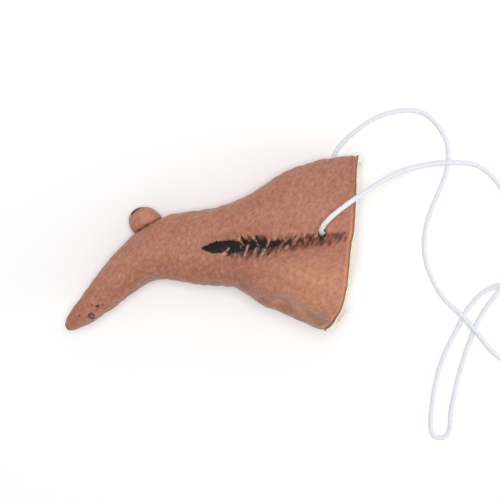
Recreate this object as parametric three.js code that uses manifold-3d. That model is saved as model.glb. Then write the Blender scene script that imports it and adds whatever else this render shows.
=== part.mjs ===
// Moulded latex witch nose with its elastic head cord, lying on its side as it comes to rest.
// Millimetres, +Z up. The nose is shaped upright in its own frame, where x = 0 is the bridge end
// of the face rim and the tip points to -X, y runs from the underside up to the bridge, and z = 0
// is the plane of symmetry. It is then tipped over onto the table, z = 0.
import * as THREE from 'three';
import { mergeVertices } from 'three/addons/utils/BufferGeometryUtils.js';
import Module from 'manifold-3d';

// Overall sizes of the nose.
const LENGTH = 95; // from the bridge end of the rim to the tip
const HEIGHT = 57; // of the rim, from the columella to the bridge
const WIDTH = 38; // across the nostril wings
const WALL = 2; // of latex
const TIP_SOLID = 13; // of latex pooled in the tip of the mould

// Face rim: a straight cut that leans back towards the bridge and is rounded off below.
const RIM_LEAN = 5.1; // degrees
const RIM_CORNER_RADIUS = 10.5;

// Forms pressed into the sides.
const CREASE_DEPTH = 1.4;
const NOSTRIL_DEPTH = 3.4;

// Wart on the bridge, moulded with the skin.
const WART_DIAMETER = 9;
const WART_STANDOFF = 2.2; // of its centre above the skin

// Head cord and its two holes.
const CORD_DIAMETER = 1.6;
const CORD_CLEARANCE = 0.3;
const HOLE_FROM_RIM = 11; // ahead of the bridge end of the rim
const HOLE_HEIGHT = 30.5; // above the columella
const KNOT_DIAMETER = 4.8;
const KNOT_THICKNESS = 4.2; // along the hole
const KNOT_CLEARANCE = 0.3; // to the wall and to the cord's end

// How it lies on its side, turned from the plane of symmetry lying level.
const BRIDGE_DOWN = 15.8; // degrees
const TIP_DOWN = 6.95; // degrees

// Ribs from behind the rim to the tip. 'top' and 'under' are the rib's ends on the profile, as
// [share of LENGTH from the rim, share of HEIGHT]. 'bridge', 'waist' and 'wing' are half widths
// high, halfway and low on the rib, as shares of WIDTH / 2.
const RIBS = [
  { top: [-0.062, 0.991], under: [-0.003, -0.011], bridge: 0.42, waist: 0.5, wing: 0.98 },
  { top: [0, 0.994], under: [0.065, 0.003], bridge: 0.42, waist: 0.5, wing: 0.98 },
  { top: [0.068, 0.991], under: [0.134, 0.02], bridge: 0.43, waist: 0.51, wing: 0.97 },
  { top: [0.137, 0.972], under: [0.195, 0.06], bridge: 0.455, waist: 0.525, wing: 0.93 },
  { top: [0.199, 0.938], under: [0.253, 0.102], bridge: 0.475, waist: 0.535, wing: 0.86 },
  { top: [0.26, 0.892], under: [0.312, 0.148], bridge: 0.485, waist: 0.54, wing: 0.75 },
  { top: [0.325, 0.824], under: [0.366, 0.202], bridge: 0.475, waist: 0.53, wing: 0.64 },
  { top: [0.401, 0.753], under: [0.421, 0.253], bridge: 0.445, waist: 0.52, wing: 0.53 },
  { top: [0.486, 0.705], under: [0.497, 0.264], bridge: 0.405, waist: 0.505, wing: 0.465 },
  { top: [0.572, 0.682], under: [0.572, 0.278], bridge: 0.38, waist: 0.5, wing: 0.43 },
  { top: [0.647, 0.662], under: [0.634, 0.295], bridge: 0.36, waist: 0.485, wing: 0.41 },
  { top: [0.712, 0.608], under: [0.671, 0.298], bridge: 0.345, waist: 0.465, wing: 0.39 },
  { top: [0.771, 0.543], under: [0.702, 0.291], bridge: 0.32, waist: 0.43, wing: 0.36 },
  { top: [0.822, 0.46], under: [0.731, 0.271], bridge: 0.29, waist: 0.4, wing: 0.335 },
  { top: [0.866, 0.372], under: [0.776, 0.215], bridge: 0.265, waist: 0.365, wing: 0.305 },
  { top: [0.904, 0.29], under: [0.827, 0.151], bridge: 0.24, waist: 0.33, wing: 0.275 },
  { top: [0.938, 0.21], under: [0.877, 0.091], bridge: 0.205, waist: 0.285, wing: 0.24 },
  { top: [0.966, 0.151], under: [0.918, 0.045], bridge: 0.17, waist: 0.235, wing: 0.2 },
  { top: [0.985, 0.105], under: [0.95, 0.023], bridge: 0.13, waist: 0.18, wing: 0.15 },
  { top: [0.996, 0.072], under: [0.968, 0.01], bridge: 0.1, waist: 0.145, wing: 0.12 },
  { top: [1, 0.048], under: [0.983, 0.007], bridge: 0.055, waist: 0.085, wing: 0.07 },
];
const TIP = [0.997, 0.02]; // of the profile, beyond the last rib
const WART_RIB = 11.3; // rib that carries the wart, counted from the rim

// Shares of the depths of the side crease and of the nostril hollow, rib by rib from behind the
// rim. The ribs past the end of the table have no dents.
const DENTS = [
  { crease: 0.1, nostril: 0 },
  { crease: 0.2, nostril: 0.1 },
  { crease: 0.4, nostril: 0.45 },
  { crease: 0.8, nostril: 0.8 },
  { crease: 1, nostril: 1 },
  { crease: 1, nostril: 0.5 },
  { crease: 1, nostril: 0 },
  { crease: 0.9, nostril: 0 },
  { crease: 0.6, nostril: 0 },
  { crease: 0, nostril: 0 },
];

// Share of the way down a rib of each half width.
const BRIDGE_AT = 0.16;
const WAIST_AT = 0.48;
const WING_AT = 0.78;
const SIDE_FULLNESS = 0.8; // 1 makes an ellipse of a rib, less squares its shoulders

// Degrees round a rib from the bridge of each dent, and how far the dents spread.
const CREASE_AT = 88;
const CREASE_SPREAD = 5.5;
const NOSTRIL_AT = 162;
const NOSTRIL_SPREAD = 8;

// Route of the cord over the table, from just outside the near hole to just outside the far one,
// as [x, y, z] where the nose lies. It crosses over itself where it rises off the table.
const CORD_ROUTE = [
  [34.7, 5.8, 26.9],
  [35.5, 7.6, 28.3],
  [37.6, 9.9, 28.6],
  [46, 15.5, 24.4],
  [61.5, 22, 8.4],
  [70, 23.5, 3.4],
  [77, 24, 2.9],
  [87, 22.5, 0.8],
  [94, 16, 0.8],
  [99.5, 3, 0.8],
  [99, -9, 0.8],
  [94, -18.5, 0.8],
  [87.5, -28, 0.8],
  [81.5, -44, 0.8],
  [77.9, -60, 0.8],
  [77.4, -65.8, 0.8],
  [75.9, -68.2, 0.8],
  [72.9, -68.2, 0.8],
  [71.4, -65.8, 0.8],
  [71.7, -57, 0.8],
  [74.5, -43.5, 0.8],
  [79.5, -32.5, 0.8],
  [84.5, -23.5, 0.8],
  [90, -18.2, 1.8],
  [95, -16.7, 2.9],
  [101, -17.4, 1.6],
  [106.5, -22.5, 0.8],
  [108.5, -31, 0.8],
  [106, -40.5, 0.8],
  [99.5, -44.5, 0.8],
  [92.5, -40, 1.2],
  [86, -32, 2.8],
  [82, -27.2, 2.8],
  [75, -20, 0.8],
  [69.8, -8, 0.8],
  [70, 3, 0.8],
  [77, 22.5, 0.8],
  [76.5, 31.5, 0.8],
  [69.5, 40, 0.8],
  [59, 40.5, 0.8],
  [49, 36, 0.8],
  [40, 26.5, 0.8],
  [41.4, 14, 0.8],
  [42, 5.5, 0.8],
  [40.5, 0.5, 1],
  [39.1, -0.6, 1.5],
  [38, -1.1, 2.8],
];
const CORD_OUT = 0.6; // by which the cord leaves each hole straight

// Facets.
const OUTSIDE_FACETS = 52; // round a section
const INSIDE_FACETS = 36;
const RIB_STEPS = 2; // sections from one rib to the next
const DOME_TURNS = [30, 55, 75]; // degrees of the rings that close the hollow
const WART_FACETS = 22; // round it
const WART_ROWS = 14;
const KNOT_FACETS = 14; // round it
const KNOT_ROWS = 10;
const HOLE_FACETS = 16;
const CORNER_FACETS = 5; // round the rim's corner
const CORD_STEPS = 90;
const CORD_SIDES = 8;
const CUT_MARGIN = 6; // by which cutters run past what they cut
const WELD_WITHIN = 1e-4; // of each other, corners are one

const radians = THREE.MathUtils.degToRad;
const blend = THREE.MathUtils.smoothstep;
const mix = THREE.MathUtils.lerp;

const material = (color, roughness) =>
  new THREE.MeshStandardMaterial({ color, roughness, metalness: 0 });
const LATEX = material(0xb97d67, 0.55);
const ELASTIC = material(0xe6e8f0, 0.8);

// A column of a table at a place between ribs, on a smooth curve through the ribs.
function between(table, column, place) {
  const last = table.length - 1;
  const reached = Math.min(place, last);
  const from = Math.min(Math.floor(reached), last - 1);
  const share = reached - from;
  const value = (index) => column(table[THREE.MathUtils.clamp(index, 0, last)]);
  const [before, start, end, after] = [from - 1, from, from + 1, from + 2].map(value);
  const startSlope = (end - before) / 2;
  const endSlope = (after - start) / 2;
  const bend = 3 * (end - start) - 2 * startSlope - endSlope;
  const twist = 2 * (start - end) + startSlope + endSlope;
  return start + share * (startSlope + share * (bend + share * twist));
}

const profilePoint = ([along, up]) => new THREE.Vector3(-along * LENGTH, up * HEIGHT, 0);

function ribEnds(place) {
  const along = (name, axis) => between(RIBS, (rib) => rib[name][axis], place);
  const end = (name) => profilePoint([along(name, 0), along(name, 1)]);
  return { top: end('top'), under: end('under') };
}

const roundness = (down) => Math.pow(4 * down * (1 - down), SIDE_FULLNESS / 2);

// Half width of a rib at a share of the way down it, before the dents.
function halfWidth(place, down) {
  const full = (name, at) => between(RIBS, (rib) => rib[name], place) / roundness(at);
  const waist = full('waist', WAIST_AT);
  const upper = mix(full('bridge', BRIDGE_AT), waist, blend(down, BRIDGE_AT, WAIST_AT));
  const width = mix(upper, full('wing', WING_AT), blend(down, WAIST_AT, WING_AT));
  return (width * roundness(down) * WIDTH) / 2;
}

const bell = (distance, spread) => Math.exp(-((distance / spread) ** 2) / 2);

// Depth of the dents at a number of degrees round a rib, the same on both sides.
function dentDepth(place, degrees) {
  const round = Math.min(degrees, 360 - degrees);
  const share = (name) => Math.max(0, between(DENTS, (rib) => rib[name], place));
  const crease = share('crease') * CREASE_DEPTH * bell(round - CREASE_AT, CREASE_SPREAD);
  const nostril = share('nostril') * NOSTRIL_DEPTH * bell(round - NOSTRIL_AT, NOSTRIL_SPREAD);
  return crease + nostril;
}

// One closed section through the skin, inset by a depth, as points from the bridge round the
// near side to the underside and back up the far side.
function section(place, inset, around) {
  const { top, under } = ribEnds(place);
  const chord = under.clone().sub(top);
  const tall = chord.length();
  const outline = [];
  for (let step = 0; step < around; step++) {
    const angle = (2 * Math.PI * step) / around;
    const down = (1 - Math.cos(angle)) / 2;
    const side = Math.sign(Math.sin(angle).toFixed(6));
    outline.push(new THREE.Vector2(down * tall, side * halfWidth(place, down)));
  }
  return outline.map((point, step) => {
    const ahead = outline[(step + 1) % around];
    const behind = outline[(step + around - 1) % around];
    const inward = new THREE.Vector2(behind.y - ahead.y, ahead.x - behind.x).normalize().negate();
    const depth = inset + dentDepth(place, (360 * step) / around);
    const moved = point.clone().addScaledVector(inward, depth);
    const onProfile = top.clone().addScaledVector(chord, moved.x / tall);
    return onProfile.setZ(moved.y);
  });
}

// A closed mesh over rings of points, with a point to close each end.
function loft(rings, firstEnd, lastEnd) {
  const around = rings[0].length;
  const points = [firstEnd, ...rings.flat(), lastEnd];
  const at = (ring, step) => 1 + ring * around + (step % around);
  const faces = [];
  for (let step = 0; step < around; step++) {
    faces.push(0, at(0, step), at(0, step + 1));
    for (let ring = 0; ring + 1 < rings.length; ring++) {
      faces.push(at(ring, step), at(ring + 1, step), at(ring, step + 1));
      faces.push(at(ring, step + 1), at(ring + 1, step), at(ring + 1, step + 1));
    }
    faces.push(at(rings.length - 1, step + 1), at(rings.length - 1, step), points.length - 1);
  }
  const geometry = new THREE.BufferGeometry().setFromPoints(points);
  geometry.setIndex(faces);
  return geometry;
}

function centreOf(ring) {
  const sum = ring.reduce((total, point) => total.add(point), new THREE.Vector3());
  return sum.divideScalar(ring.length);
}

function outerSkin() {
  const rings = [];
  for (let step = 0; step <= (RIBS.length - 1) * RIB_STEPS; step++) {
    rings.push(section(step / RIB_STEPS, 0, OUTSIDE_FACETS));
  }
  return loft(rings, centreOf(rings[0]), profilePoint(TIP));
}

// The hollow: the skin's sections inset by the wall, ending in a dome where the tip is solid.
function hollow() {
  const rings = [];
  let place = 0;
  const before = (end) => -centreOf(section(place, 0, INSIDE_FACETS)).x < end;
  for (; before(LENGTH - TIP_SOLID); place += 1 / RIB_STEPS) {
    rings.push(section(place, WALL, INSIDE_FACETS));
  }
  const last = rings.at(-1);
  const centre = centreOf(last);
  const ahead = centre.clone().sub(centreOf(rings.at(-2))).normalize();
  const reach = Math.min(...last.map((point) => point.distanceTo(centre)));
  for (const turn of DOME_TURNS) {
    const angle = radians(turn);
    const move = ahead.clone().multiplyScalar(reach * Math.sin(angle));
    rings.push(last.map((point) => point.clone().lerp(centre, 1 - Math.cos(angle)).add(move)));
  }
  return loft(rings, centreOf(rings[0]), centre.clone().addScaledVector(ahead, reach));
}

// What is cut away behind the rim: the lean of the rim line, then a round corner below.
function behindRim() {
  const lean = radians(RIM_LEAN);
  const rimLineAt = (height) => -(HEIGHT - height) * Math.tan(lean);
  const cornerTop = RIM_CORNER_RADIUS * (1 - Math.sin(lean));
  const cornerX = rimLineAt(cornerTop) - RIM_CORNER_RADIUS * Math.cos(lean);
  const above = HEIGHT + CUT_MARGIN;
  const outline = new THREE.Shape();
  outline.moveTo(rimLineAt(above), above);
  outline.lineTo(rimLineAt(cornerTop), cornerTop);
  outline.absarc(cornerX, RIM_CORNER_RADIUS, RIM_CORNER_RADIUS, -lean, -Math.PI / 2, true);
  outline.lineTo(cornerX, -CUT_MARGIN);
  outline.lineTo(LENGTH, -CUT_MARGIN);
  outline.lineTo(LENGTH, above);
  const depth = WIDTH + 2 * CUT_MARGIN;
  const options = { depth, bevelEnabled: false, curveSegments: CORNER_FACETS };
  const block = new THREE.ExtrudeGeometry(outline, options);
  return block.translate(0, 0, -depth / 2);
}

const wasm = await Module();
wasm.setup();

function solid(geometry) {
  const bare = geometry.clone();
  bare.deleteAttribute('normal');
  bare.deleteAttribute('uv');
  const merged = mergeVertices(bare, WELD_WITHIN);
  const mesh = new wasm.Mesh({
    numProp: 3,
    vertProperties: new Float32Array(merged.attributes.position.array),
    triVerts: new Uint32Array(merged.index.array),
  });
  return new wasm.Manifold(mesh);
}

function geometryOf(body) {
  const mesh = body.getMesh();
  const geometry = new THREE.BufferGeometry();
  geometry.setAttribute('position', new THREE.BufferAttribute(mesh.vertProperties, 3));
  geometry.setIndex(new THREE.BufferAttribute(mesh.triVerts, 1));
  return geometry;
}

function wart() {
  const { top, under } = ribEnds(WART_RIB);
  const outward = top.clone().sub(under).normalize();
  const centre = top.clone().addScaledVector(outward, WART_STANDOFF);
  return new THREE.SphereGeometry(WART_DIAMETER / 2, WART_FACETS, WART_ROWS).translate(...centre);
}

// Both cord holes are on one line across the nose.
const holeAt = (z) => new THREE.Vector3(-HOLE_FROM_RIM, HOLE_HEIGHT, z);

function cordHoles() {
  const radius = CORD_DIAMETER / 2 + CORD_CLEARANCE;
  const long = WIDTH + 2 * CUT_MARGIN;
  const across = new THREE.CylinderGeometry(radius, radius, long, HOLE_FACETS);
  return across.rotateX(Math.PI / 2).translate(...holeAt(0));
}

const uncut = solid(outerSkin()).add(solid(wart()));
const blankShell = uncut.subtract(solid(hollow())).subtract(solid(behindRim()));

// How far the wall's inner and outer faces stand from the plane of symmetry at the holes.
function wallAtHoles() {
  const across = new THREE.Raycaster(holeAt(0), new THREE.Vector3(0, 0, 1));
  const bothFaces = new THREE.MeshBasicMaterial({ side: THREE.DoubleSide });
  const blank = new THREE.Mesh(geometryOf(blankShell), bothFaces);
  const [inside, outside] = across.intersectObject(blank).map((hit) => hit.point.z);
  return { inside, outside };
}

function knot() {
  const ball = new THREE.SphereGeometry(KNOT_DIAMETER / 2, KNOT_FACETS, KNOT_ROWS);
  return ball.scale(1, 1, KNOT_THICKNESS / KNOT_DIAMETER);
}

// A smooth route held up by the table. Its steps follow its points, which are closest at the bends.
class CordRoute extends THREE.CatmullRomCurve3 {
  getPointAt(share, target) {
    const point = this.getPoint(share, target);
    return point.setZ(Math.max(point.z, CORD_DIAMETER / 2));
  }

  getTangentAt(share, target) {
    return this.getTangent(share, target);
  }
}

function cord(start, end) {
  const laidPoints = CORD_ROUTE.map((point) => new THREE.Vector3(...point));
  const route = new CordRoute([...start, ...laidPoints, ...end]);
  const corners = [];
  for (let side = 0; side < CORD_SIDES; side++) {
    const corner = new THREE.Vector2(CORD_DIAMETER / 2, 0);
    corners.push(corner.rotateAround(new THREE.Vector2(), (2 * Math.PI * side) / CORD_SIDES));
  }
  const options = { steps: CORD_STEPS, extrudePath: route };
  return new THREE.ExtrudeGeometry(new THREE.Shape(corners), options);
}

// The whole nose is turned onto its side and let down onto the table, z = 0.
const laid = new THREE.Group();
laid.rotation.set(-radians(BRIDGE_DOWN), -radians(TIP_DOWN), 0, 'YXZ');

function add(name, geometry, finish, parent) {
  const mesh = new THREE.Mesh(geometry, finish);
  mesh.name = name;
  parent.add(mesh);
  return mesh;
}

const group = new THREE.Group();
group.add(laid);
add('nose_shell', geometryOf(blankShell.subtract(solid(cordHoles()))), LATEX, laid);
laid.updateMatrixWorld(true);
const lying = new THREE.Box3().setFromObject(laid, true);
laid.position.copy(lying.getCenter(new THREE.Vector3()).negate()).setZ(-lying.min.z);
laid.updateMatrixWorld(true);

const wall = wallAtHoles();
const knotAt = wall.inside - KNOT_CLEARANCE - KNOT_THICKNESS / 2;
add('knot_near', knot(), ELASTIC, laid).position.copy(holeAt(knotAt));
add('knot_far', knot(), ELASTIC, laid).position.copy(holeAt(-knotAt));

// The cord starts level with the wall's inner face, which is clear of the knot, and leaves straight.
const wayOut = [wall.inside, wall.outside, wall.outside + CORD_OUT];
const nearEnd = wayOut.map((z) => laid.localToWorld(holeAt(z)));
const farEnd = wayOut.map((z) => laid.localToWorld(holeAt(-z))).reverse();
add('elastic_cord', cord(nearEnd, farEnd), ELASTIC, group);

export default group;
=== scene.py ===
"""Moulded latex witch nose with its elastic head cord, lying on its side on a pale table."""

import math

import bmesh
import bpy
import numpy as np
from mathutils import Matrix, Vector, noise
from mathutils.kdtree import KDTree


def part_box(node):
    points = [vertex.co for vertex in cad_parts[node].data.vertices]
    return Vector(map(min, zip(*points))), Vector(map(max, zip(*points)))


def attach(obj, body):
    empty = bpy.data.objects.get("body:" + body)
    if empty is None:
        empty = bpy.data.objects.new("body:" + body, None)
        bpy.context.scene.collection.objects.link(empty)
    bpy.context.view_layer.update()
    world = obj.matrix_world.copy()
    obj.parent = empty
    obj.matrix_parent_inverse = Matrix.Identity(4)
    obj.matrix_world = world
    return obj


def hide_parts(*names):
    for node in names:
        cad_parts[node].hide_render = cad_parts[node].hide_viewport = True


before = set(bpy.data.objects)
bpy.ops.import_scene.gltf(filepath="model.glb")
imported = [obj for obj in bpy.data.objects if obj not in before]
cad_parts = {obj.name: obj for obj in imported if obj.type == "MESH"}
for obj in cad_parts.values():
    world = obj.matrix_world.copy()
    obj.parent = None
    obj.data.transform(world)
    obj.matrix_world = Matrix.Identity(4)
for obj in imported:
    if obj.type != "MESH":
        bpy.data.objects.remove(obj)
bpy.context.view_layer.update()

MM = 0.001

# Sizes of the nose in millimetres. In its own frame x = 0 is the bridge end of the face rim and
# the tip points to -X, y runs from the underside up to the bridge, and z = 0 is the plane of
# symmetry. Its near side, with positive z, is the side that lies uppermost.
LENGTH = 95
HEIGHT = 57
WIDTH = 38
WALL = 2
TIP_SOLID = 13
RIM_LEAN = math.radians(5.1)
RIM_CORNER_RADIUS = 10.5
CREASE_DEPTH = 1.4
NOSTRIL_DEPTH = 3.4
WART_DIAMETER = 9
WART_STANDOFF = 2.2
BRIDGE_DOWN = math.radians(15.8)
TIP_DOWN = math.radians(6.95)

# Ribs from behind the rim to the tip. 'top' and 'under' are the rib's ends on the profile, as
# shares of LENGTH from the rim and of HEIGHT. 'bridge', 'waist' and 'wing' are half widths high,
# halfway and low on the rib, as shares of WIDTH / 2.
RIB_COLUMNS = ("top_x", "top_y", "under_x", "under_y", "bridge", "waist", "wing")
RIBS = (
    (-0.062, 0.991, -0.003, -0.011, 0.42, 0.5, 0.98),
    (0, 0.994, 0.065, 0.003, 0.42, 0.5, 0.98),
    (0.068, 0.991, 0.134, 0.02, 0.43, 0.51, 0.97),
    (0.137, 0.972, 0.195, 0.06, 0.455, 0.525, 0.93),
    (0.199, 0.938, 0.253, 0.102, 0.475, 0.535, 0.86),
    (0.26, 0.892, 0.312, 0.148, 0.485, 0.54, 0.75),
    (0.325, 0.824, 0.366, 0.202, 0.475, 0.53, 0.64),
    (0.401, 0.753, 0.421, 0.253, 0.445, 0.52, 0.53),
    (0.486, 0.705, 0.497, 0.264, 0.405, 0.505, 0.465),
    (0.572, 0.682, 0.572, 0.278, 0.38, 0.5, 0.43),
    (0.647, 0.662, 0.634, 0.295, 0.36, 0.485, 0.41),
    (0.712, 0.608, 0.671, 0.298, 0.345, 0.465, 0.39),
    (0.771, 0.543, 0.702, 0.291, 0.32, 0.43, 0.36),
    (0.822, 0.46, 0.731, 0.271, 0.29, 0.4, 0.335),
    (0.866, 0.372, 0.776, 0.215, 0.265, 0.365, 0.305),
    (0.904, 0.29, 0.827, 0.151, 0.24, 0.33, 0.275),
    (0.938, 0.21, 0.877, 0.091, 0.205, 0.285, 0.24),
    (0.966, 0.151, 0.918, 0.045, 0.17, 0.235, 0.2),
    (0.985, 0.105, 0.95, 0.023, 0.13, 0.18, 0.15),
    (0.996, 0.072, 0.968, 0.01, 0.1, 0.145, 0.12),
    (1, 0.048, 0.983, 0.007, 0.055, 0.085, 0.07),
)
TIP = (0.997, 0.02)
WART_RIB = 11.3
# Shares of the depths of the side crease and the nostril hollow, for the first ribs.
DENT_COLUMNS = ("crease", "nostril")
DENTS = (
    (0.1, 0), (0.2, 0.1), (0.4, 0.45), (0.8, 0.8), (1, 1),
    (1, 0.2), (1, 0), (0.9, 0), (0.6, 0), (0, 0),
)
BRIDGE_AT = 0.16
WAIST_AT = 0.48
WING_AT = 0.78
SIDE_FULLNESS = 0.8
CREASE_AT = math.radians(88)
CREASE_SPREAD = math.radians(5.5)
NOSTRIL_AT = math.radians(162)
NOSTRIL_SPREAD = math.radians(8)

# By how much the scissors strayed from the plain rim, outwards, at heights on the rim.
TRIM_HEIGHT = (0, 2, 4, 6, 7.4, 8, 8.8, 10, 13, 18, 24, 27, 31, 37, 43, 49, 57)
TRIM_NEAR = (0, 0.4, 0.5, 0.7, 0.9, 0.9, 1, 1.2, 1.7, 1.6, 1.1, 1, 1.4, 1.2, 0.9, 0.3, 0)
TRIM_FAR = (
    0.5, 0.2, -0.4, -0.6, -0.5, 0.1, -0.8, -1.1, -1.1, -0.4, 0.3, 0.8, 0.7, 0.1, 0.1, 0.3, 1.1,
)
TRIM_WAVERS = ((0.03, 1.9, 3), (0.02, 4.3, 1))  # height, rate along y, shift between the sides
TRIM_CHANGE = (-2, 2)  # z over which one side's cut turns into the other's

# Cord and its holes, in millimetres. The route is in the shared frame, the rest in the nose's own.
CORD_DIAMETER = 1.6
CORD_CLEARANCE = 0.3
HOLE = (-11, 30.5)
HOLE_INSIDE = 7.7
HOLE_OUTSIDE = 9.7
CORD_OUT = 0.6
CORD_IN = 1.2
KNOT_AT = 5.3
KNOT_SIZE = 0.54
KNOT_POINTS = 120
KNOT_END = (0.9, 0.35, -0.25)  # way of the cut end
KNOT_END_RUN = (0.2, 3.2)
BRAID_STRANDS = 4  # of each winding round the cord
BRAID_PITCH = 3.2
BRAID_RELIEF = 0.07
CORD_STEP = 0.2
CORD_ROUTE = (  # x, y and the height of its middle, where it is off the table
    (34.7, 5.8, 26.9), (35.5, 7.6, 28.3), (37.6, 9.9, 28.6), (46, 15.5, 24.4),
    (61.5, 22, 8.4), (70, 23.5, 3.4), (77, 24, 2.9), (87, 22.5),
    (94, 16), (99.5, 3), (99, -9), (94, -18.5),
    (87.5, -28), (81.5, -44), (77.9, -60), (77.4, -65.8),
    (75.9, -68.2), (72.9, -68.2), (71.4, -65.8), (71.7, -57),
    (74.5, -43.5), (79.5, -32.5), (84.5, -23.5), (90, -18.2, 1.8),
    (95, -16.7, 2.9), (101, -17.4, 1.6), (106.5, -22.5), (108.5, -31),
    (106, -40.5), (99.5, -44.5), (92.5, -40, 1.2), (86, -32, 2.8),
    (82, -27.2, 2.8), (75, -20), (69.8, -8), (70, 3),
    (77, 22.5), (76.5, 31.5), (69.5, 40), (59, 40.5),
    (49, 36), (40, 26.5), (41.4, 14), (42, 5.5),
    (40.5, 0.5, 1), (39.1, -0.6, 1.5), (38, -1.1, 2.8),
)

# Camera: straight down on the table, tipped a little towards the underside of the nose.
CAMERA_TARGET = Vector((12.26, -1.63, 15.0)) * MM
CAMERA_DISTANCE = 450 * MM
CAMERA_SIDEWAYS = math.radians(1)
CAMERA_TIP = math.radians(8)
CAMERA_SPIN = math.radians(-1.3)
CAMERA_LENS = 101.5
CAMERA_SENSOR = 36
CAMERA_CLIP = 0.01

# Small forms of the sides, in the nose's own frame. Folds and slashes: from x, y to x, y, and half
# the width.
FOLDS = (
    (-41.6, 24, -40.2, 25.8, 0.38), (-38.1, 23.6, -38, 25.2, 0.42),
    (-37, 23.2, -36.5, 24.4, 0.36), (-37.2, 28.6, -35.5, 26.3, 0.34),
    (-36.4, 26.1, -36, 25.2, 0.26), (-34.1, 26.4, -35, 23.3, 0.42),
    (-31, 25.4, -32.4, 23, 0.42), (-32.6, 29.2, -31.7, 27.9, 0.3),
    (-28.6, 24.7, -30, 22.7, 0.46), (-27.6, 27.6, -27.9, 25.8, 0.44),
    (-22.6, 28.1, -23.8, 25.7, 0.4), (-18.7, 28.3, -19.9, 26.3, 0.4),
    (-16.3, 28.3, -16.9, 27.3, 0.32), (-12.9, 27.7, -13.9, 26.3, 0.42),
    (-31.6, 28.1, -31.1, 27.1, 0.28), (-25.7, 28.7, -25, 27.6, 0.3),
    (-21.2, 26, -21.9, 24.7, 0.34),
)
SLASHES = (
    (-40.2, 23.3, -38.7, 24.8, 0.32), (-36.4, 29.2, -35.1, 26.9, 0.32),
    (-35.3, 26.5, -36.4, 23.1, 0.3), (-33.4, 24.3, -32.4, 23.2, 0.28),
    (-31.8, 29.1, -29.7, 26.4, 0.36), (-30, 24.3, -30.7, 22.6, 0.28),
    (-27.5, 23.4, -28.9, 21.8, 0.34), (-26.1, 26.8, -26.9, 25.3, 0.38),
    (-22.1, 27.4, -23.3, 25.5, 0.32), (-18, 28.1, -19.4, 25.8, 0.36),
    (-17.2, 30, -17.7, 28.5, 0.3), (-14.9, 28.8, -16.1, 27.3, 0.34),
    (-12.1, 27.5, -12.8, 26.1, 0.3), (-7.7, 30.2, -8.4, 28.9, 0.32),
    (-4.4, 30.2, -4.9, 29.2, 0.28), (-32.6, 27.8, -33.5, 25.8, 0.6),
    (-25.2, 27.6, -26, 24.6, 0.6), (-20.6, 29.4, -21.6, 27.8, 0.45),
    (-11.8, 28.6, -12.9, 27.4, 0.4), (-9.7, 29.3, -10.7, 27.9, 0.36),
)
# Edge of the nostril hollow: x, y and the distance from the plane of symmetry.
NOSTRIL_RIDGE = (
    (-30.4, 10, 4), (-28.3, 10.6, 6), (-26, 10.8, 8.5), (-23.4, 10.4, 11),
    (-21.2, 9.4, 11.8), (-18.5, 8.1, 11.5), (-16.5, 6.6, 10), (-14.5, 4.9, 8),
    (-12.4, 3.3, 7), (-8.5, 2.7, 8.5),
)
SIDEWAYS_SHARE = 0.45  # of the distance across the nose, which the picture doesn't show
# Marks: the ends of the black dab, the middle of the painted highlight on the wart, then x, y and
# size of ring and dots, and x, y, z and size of the flecks.
WART_DAB = ((-72.9, 38.3, 2.6), (-71.0, 40.0, 2.0))
WART_HIGHLIGHT_AT = (-68.1, 37.3, 3.6)
TIP_RING = (-85.5, 4.75, 0.68)
TIP_SLIT = ((-83.3, 8.0, -82.75, 7.3, 0.36),)
DOTS = (
    (-85.1, 8.1, 0.34), (-89.4, 4.8, 0.36), (-83.7, 6.8, 0.3),
    (-81.6, 8.3, 0.28), (-29.6, 10.1, 0.32),
)
FLECKS = (
    (-13.9, 1.8, 0.8, 0.5), (-7.8, 2.7, 6.4, 0.5), (-4.7, 7.8, 14.2, 0.4),
)
CREASE_LINE = (
    (-49, -44.8, -36.8, -28.8, -23.4, -19.4, -15.7, -10.2, -4.5, 0),
    (25.8, 26, 26.3, 26.8, 27, 27.5, 28.2, 28.9, 29.5, 29.9),
)

# Relief in millimetres. A grain has its height, size and seed, a band its height, middle and
# spread. A run is where something sets in, or ends if the run goes from high to low.
LUMPS = ((0.2, 9, 0), (0.22, 3.6, 7.7))
PEBBLES = ((0.1, 1.7, 1.3), (0.05, 0.9, 6.1))
EDGE_LUMPS = (0.26, 2.3, 5.9)
EDGE_RUN = (7, 3)  # away from the plane of symmetry
EDGE_LUMPS_RUN = (-93, -86)
TIP_CALM_RUN = (-95, -84)
TIP_CALM = 0.15
STROKE_BENDS = ((0.45, 1.3, 8.8), (0.45, 1.3, 14.2))  # across x and y
STROKE_TAPER = (1.25, 0.4)
RING_GRAIN = (0.25, 0.9, 12.4)
RING_LINE = 0.24
HAIR_RUN = (-31, -24)  # x over which the hairs above the crease turn
HAIR_LEANS = (-0.5, 0.6, 0.5)  # above it before and after that run, and below it
HAIR_SIZE = (0.6, 2.8, 2.8)
HAIR_SEED = 2.9
CREASE_RUN = (-49, -42)
STREAKS = ((0.28, 0, 2.6), (0.12, -4.2, 2))
STREAKS_END = (-2, -8)
VALLEY = (-0.45, 0, 1.1)
VALLEY_END = (-4, -16)
FOLD_HEIGHT = 0.55
SLASH_DEPTH = 0.5
RIDGE = (0.42, 0, 0.5)
FURROW = (-0.35, 1.5, 0.7)
FURROW_ASIDE = 1.5
RING_DEPTH = 0.3
SLIT_DEPTH = 0.5
DOT_DEPTH = 0.28
MARKS_ASIDE = 0.5
LIP_ROLL = (0.16, 1.2, 0.4)
LIP_DROP = 0.3
LIP_DROP_RUN = (1.2, 0.3)
RIM_CALM_RUN = (0, 2.5)
RIM_CALM = 0.35
WART_WIDER = 0.3
WART_TALLER = 0.45
WART_BULGE = 0.5
WART_GRAIN = ((0.2, 4, 2.2), (0.08, 1.2, 9.1))
WART_SKIRT = 0.9

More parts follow.
